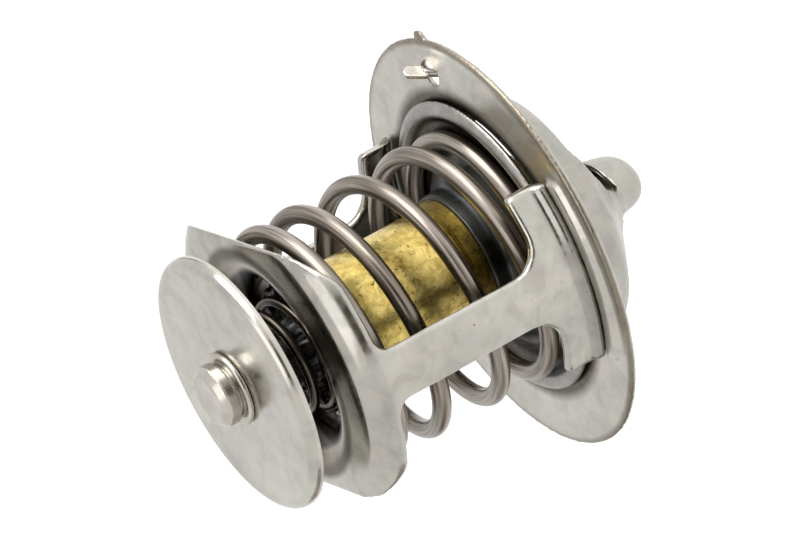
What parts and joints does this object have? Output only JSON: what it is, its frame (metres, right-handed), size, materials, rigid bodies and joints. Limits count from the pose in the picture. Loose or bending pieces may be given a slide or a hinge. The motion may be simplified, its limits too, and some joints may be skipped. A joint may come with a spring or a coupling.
{
  "type": "engine thermostat",
  "caption": "Engine coolant thermostat: flanged bridge, wax capsule in a coil spring, legged cup frame and a spring-loaded bypass plate.",
  "frame": {"origin": "centre of the flange, on its face towards the main spring", "axes": "+Z along the axis, from the flange towards the bypass plate; the frame's two legs lie along -Y and +Y, and the vent pin is near +X"},
  "size_m": [0.0571, 0.056, 0.0632],
  "materials": {
    "pressed_steel": "satin, as pressed",
    "dark_steel": "dark, semi-gloss",
    "turned_steel": "satin, turned",
    "spring_wire": "drawn, semi-gloss",
    "brass": "scratched, stained",
    "rubber": "moulded",
    "washer_plastic": "cut",
    "wax": "cast"
  },
  "bodies": {
    "base": {"flange": "pressed_steel", "lower_frame": "pressed_steel", "piston": "turned_steel", "main_spring": "spring_wire"},
    "valve": {"main_valve": "dark_steel", "capsule_cup": "brass", "piston_guide": "brass", "backup_washer": "washer_plastic", "rubber_boot": "rubber", "wax_charge": "wax", "bypass_stem": "turned_steel", "stem_ring": "turned_steel", "bypass_spring": "spring_wire"},
    "bypass_plate": {"bypass_disc": "pressed_steel"},
    "vent_pin": {"jiggle_pin": "turned_steel"}
  },
  "joints": [
    {"name": "valve_opening", "type": "slide", "parent": "base", "child": "valve", "axis": [0, 0, 1], "range_m": [0, 0.008], "stiffness_N_per_m": 6000, "springref_m": -0.01, "deforming": ["main_spring"]},
    {"name": "bypass_lift", "type": "slide", "parent": "valve", "child": "bypass_plate", "axis": [0, 0, 1], "range_m": [-0.003, 0], "stiffness_N_per_m": 1000, "springref_m": 0.004, "deforming": ["bypass_spring"]},
    {"name": "vent_pin_slide", "type": "slide", "parent": "base", "child": "vent_pin", "axis": [0.3125, 0.5305, 0.788], "range_m": [-0.0008, 0]}
  ]
}
